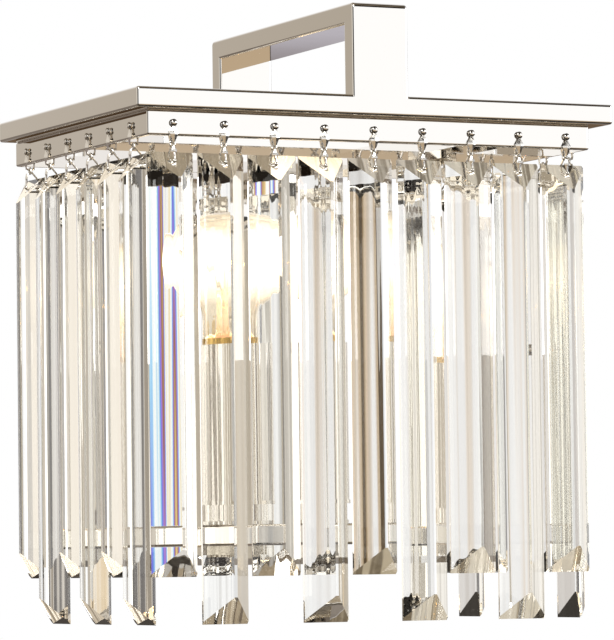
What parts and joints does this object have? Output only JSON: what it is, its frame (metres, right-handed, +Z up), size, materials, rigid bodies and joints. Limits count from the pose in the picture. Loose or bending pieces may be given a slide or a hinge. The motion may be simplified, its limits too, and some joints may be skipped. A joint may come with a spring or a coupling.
{
  "type": "wall sconce",
  "caption": "Crystal wall sconce: rectangular polished frame on a bevelled wall plate, a loop arm on top, hung three-sided crystal bars around a candle lamp with a round bulb",
  "frame": {"origin": "centre of the wall bracket's hole pattern, on the wall", "axes": "+X along the wall to a viewer's right, +Y into the wall, +Z up; the lamp stands out toward -Y"},
  "size_m": [0.232, 0.176, 0.27],
  "materials": {
    "polished_nickel": "polished nickel plate",
    "nickel_wire": "nickel plated wire",
    "nickel_screw": "nickel plated screw",
    "zinc_steel": "zinc plated steel",
    "brass": "bright brass",
    "holder_plastic": "white phenolic",
    "bulb_glass": "clear blown glass",
    "stem_glass": "clear glass stem with filament",
    "lead_insulation": "flexible insulation",
    "crystal": "clear cut crystal, polished"
  },
  "bodies": {
    "fixture": {"back_plate": "polished_nickel", "wall_bracket": "zinc_steel", "plate_screws": "nickel_screw", "top_frame": "polished_nickel", "arm_loop": "polished_nickel", "hanging_band": "polished_nickel", "frame_screws": "nickel_screw", "lamp_arm": "polished_nickel", "lamp_collar": "polished_nickel", "lamp_nipple": "brass", "candle_sleeve": "polished_nickel", "lamp_holder": "holder_plastic", "bulb_cap": "brass", "bulb_glass": "bulb_glass", "bulb_filament": "stem_glass", "lead_wires": "lead_insulation", "band_hooks": "nickel_wire", "middle_links": "nickel_wire"},
    "front_crystal_1": {"front_crystal_1": "crystal", "front_ring_1": "nickel_wire"},
    "front_crystal_2": {"front_crystal_2": "crystal", "front_ring_2": "nickel_wire"},
    "front_crystal_3": {"front_crystal_3": "crystal", "front_ring_3": "nickel_wire"},
    "front_crystal_4": {"front_crystal_4": "crystal", "front_ring_4": "nickel_wire"},
    "front_crystal_5": {"front_crystal_5": "crystal", "front_ring_5": "nickel_wire"},
    "front_crystal_6": {"front_crystal_6": "crystal", "front_ring_6": "nickel_wire"},
    "front_crystal_7": {"front_crystal_7": "crystal", "front_ring_7": "nickel_wire"},
    "front_crystal_8": {"front_crystal_8": "crystal", "front_ring_8": "nickel_wire"},
    "front_crystal_9": {"front_crystal_9": "crystal", "front_ring_9": "nickel_wire"},
    "left_crystal_1": {"left_crystal_1": "crystal", "left_ring_1": "nickel_wire"},
    "left_crystal_2": {"left_crystal_2": "crystal", "left_ring_2": "nickel_wire"},
    "left_crystal_3": {"left_crystal_3": "crystal", "left_ring_3": "nickel_wire"},
    "left_crystal_4": {"left_crystal_4": "crystal", "left_ring_4": "nickel_wire"},
    "left_crystal_5": {"left_crystal_5": "crystal", "left_ring_5": "nickel_wire"},
    "left_crystal_6": {"left_crystal_6": "crystal", "left_ring_6": "nickel_wire"},
    "right_crystal_1": {"right_crystal_1": "crystal", "right_ring_1": "nickel_wire"},
    "right_crystal_2": {"right_crystal_2": "crystal", "right_ring_2": "nickel_wire"},
    "right_crystal_3": {"right_crystal_3": "crystal", "right_ring_3": "nickel_wire"},
    "right_crystal_4": {"right_crystal_4": "crystal", "right_ring_4": "nickel_wire"},
    "right_crystal_5": {"right_crystal_5": "crystal", "right_ring_5": "nickel_wire"},
    "right_crystal_6": {"right_crystal_6": "crystal", "right_ring_6": "nickel_wire"}
  },
  "joints": [
    {"name": "front_swing_1", "type": "hinge", "parent": "fixture", "child": "front_crystal_1", "pos_m": [-0.096, -0.167, 0.07775], "axis": [-1, 0, 0], "range_deg": [0, 40]},
    {"name": "front_swing_2", "type": "hinge", "parent": "fixture", "child": "front_crystal_2", "pos_m": [-0.072, -0.167, 0.07775], "axis": [-1, 0, 0], "range_deg": [-5, 40]},
    {"name": "front_swing_3", "type": "hinge", "parent": "fixture", "child": "front_crystal_3", "pos_m": [-0.048, -0.167, 0.07775], "axis": [-1, 0, 0], "range_deg": [-5, 40]},
    {"name": "front_swing_4", "type": "hinge", "parent": "fixture", "child": "front_crystal_4", "pos_m": [-0.024, -0.167, 0.07775], "axis": [-1, 0, 0], "range_deg": [-5, 40]},
    {"name": "front_swing_5", "type": "hinge", "parent": "fixture", "child": "front_crystal_5", "pos_m": [0, -0.167, 0.07775], "axis": [-1, 0, 0], "range_deg": [-5, 40]},
    {"name": "front_swing_6", "type": "hinge", "parent": "fixture", "child": "front_crystal_6", "pos_m": [0.024, -0.167, 0.07775], "axis": [-1, 0, 0], "range_deg": [-5, 40]},
    {"name": "front_swing_7", "type": "hinge", "parent": "fixture", "child": "front_crystal_7", "pos_m": [0.048, -0.167, 0.07775], "axis": [-1, 0, 0], "range_deg": [-5, 40]},
    {"name": "front_swing_8", "type": "hinge", "parent": "fixture", "child": "front_crystal_8", "pos_m": [0.072, -0.167, 0.07775], "axis": [-1, 0, 0], "range_deg": [-5, 40]},
    {"name": "front_swing_9", "type": "hinge", "parent": "fixture", "child": "front_crystal_9", "pos_m": [0.096, -0.167, 0.07775], "axis": [-1, 0, 0], "range_deg": [0, 40]},
    {"name": "left_swing_1", "type": "hinge", "parent": "fixture", "child": "left_crystal_1", "pos_m": [-0.107, -0.1505, 0.07775], "axis": [0, 1, 0], "range_deg": [-5, 40]},
    {"name": "left_swing_2", "type": "hinge", "parent": "fixture", "child": "left_crystal_2", "pos_m": [-0.107, -0.1265, 0.07775], "axis": [0, 1, 0], "range_deg": [-5, 40]},
    {"name": "left_swing_3", "type": "hinge", "parent": "fixture", "child": "left_crystal_3", "pos_m": [-0.107, -0.1025, 0.07775], "axis": [0, 1, 0], "range_deg": [-5, 40]},
    {"name": "left_swing_4", "type": "hinge", "parent": "fixture", "child": "left_crystal_4", "pos_m": [-0.107, -0.0785, 0.07775], "axis": [0, 1, 0], "range_deg": [-5, 40]},
    {"name": "left_swing_5", "type": "hinge", "parent": "fixture", "child": "left_crystal_5", "pos_m": [-0.107, -0.0545, 0.07775], "axis": [0, 1, 0], "range_deg": [-5, 40]},
    {"name": "left_swing_6", "type": "hinge", "parent": "fixture", "child": "left_crystal_6", "pos_m": [-0.107, -0.0305, 0.07775], "axis": [0, 1, 0], "range_deg": [-5, 40]},
    {"name": "right_swing_1", "type": "hinge", "parent": "fixture", "child": "right_crystal_1", "pos_m": [0.107, -0.1505, 0.07775], "axis": [0, -1, 0], "range_deg": [-5, 40]},
    {"name": "right_swing_2", "type": "hinge", "parent": "fixture", "child": "right_crystal_2", "pos_m": [0.107, -0.1265, 0.07775], "axis": [0, -1, 0], "range_deg": [-5, 40]},
    {"name": "right_swing_3", "type": "hinge", "parent": "fixture", "child": "right_crystal_3", "pos_m": [0.107, -0.1025, 0.07775], "axis": [0, -1, 0], "range_deg": [-5, 40]},
    {"name": "right_swing_4", "type": "hinge", "parent": "fixture", "child": "right_crystal_4", "pos_m": [0.107, -0.0785, 0.07775], "axis": [0, -1, 0], "range_deg": [-5, 40]},
    {"name": "right_swing_5", "type": "hinge", "parent": "fixture", "child": "right_crystal_5", "pos_m": [0.107, -0.0545, 0.07775], "axis": [0, -1, 0], "range_deg": [-5, 40]},
    {"name": "right_swing_6", "type": "hinge", "parent": "fixture", "child": "right_crystal_6", "pos_m": [0.107, -0.0305, 0.07775], "axis": [0, -1, 0], "range_deg": [-5, 40]}
  ]
}
